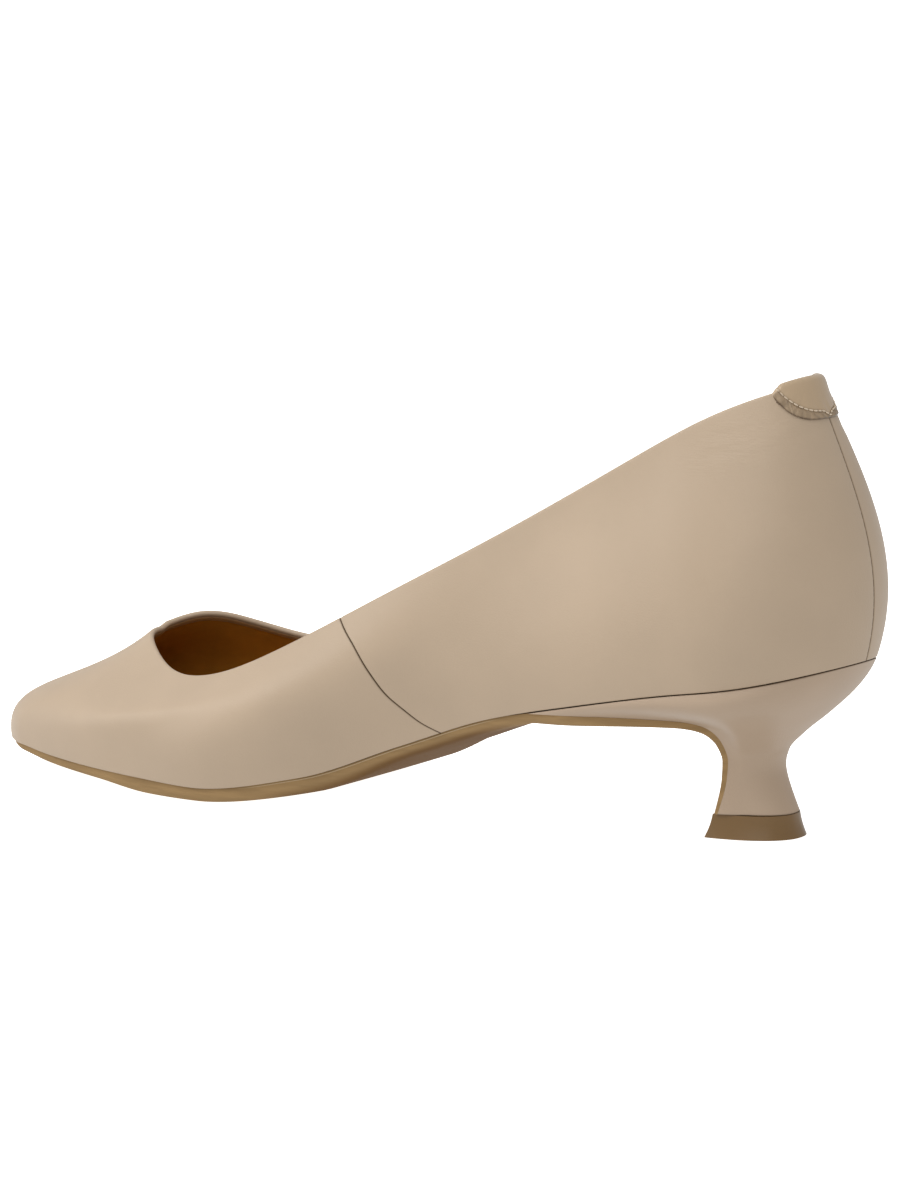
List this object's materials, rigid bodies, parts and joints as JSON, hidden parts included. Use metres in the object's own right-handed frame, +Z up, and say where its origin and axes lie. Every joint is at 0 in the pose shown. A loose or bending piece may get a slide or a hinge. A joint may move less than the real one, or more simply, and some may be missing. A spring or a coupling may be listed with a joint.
{
  "type": "low heel pump",
  "caption": "Right womens pump with a smooth leather upper, a narrow rounded toe, a low curved heel covered to match and a small tab over the back seam.",
  "frame": {"origin": "on the floor, under the middle of the box around the shoe", "axes": "+X from the toe to the heel, along the longest extent; +Z up; -Y is the inner side of the foot"},
  "size_m": [0.248, 0.0774, 0.1063],
  "materials": {
    "upper": "smooth leather, low gloss",
    "outsole": "tan sole leather, satin",
    "insole": "dark brown lining leather, matte",
    "heel": "smooth leather cover, low gloss",
    "heel_lift": "brown rubber, satin",
    "heel_tab": "smooth leather, low gloss"
  },
  "bodies": {
    "root": {"upper": "upper", "outsole": "outsole", "insole": "insole", "heel": "heel", "heel_lift": "heel_lift", "heel_tab": "heel_tab"}
  },
  "joints": []
}
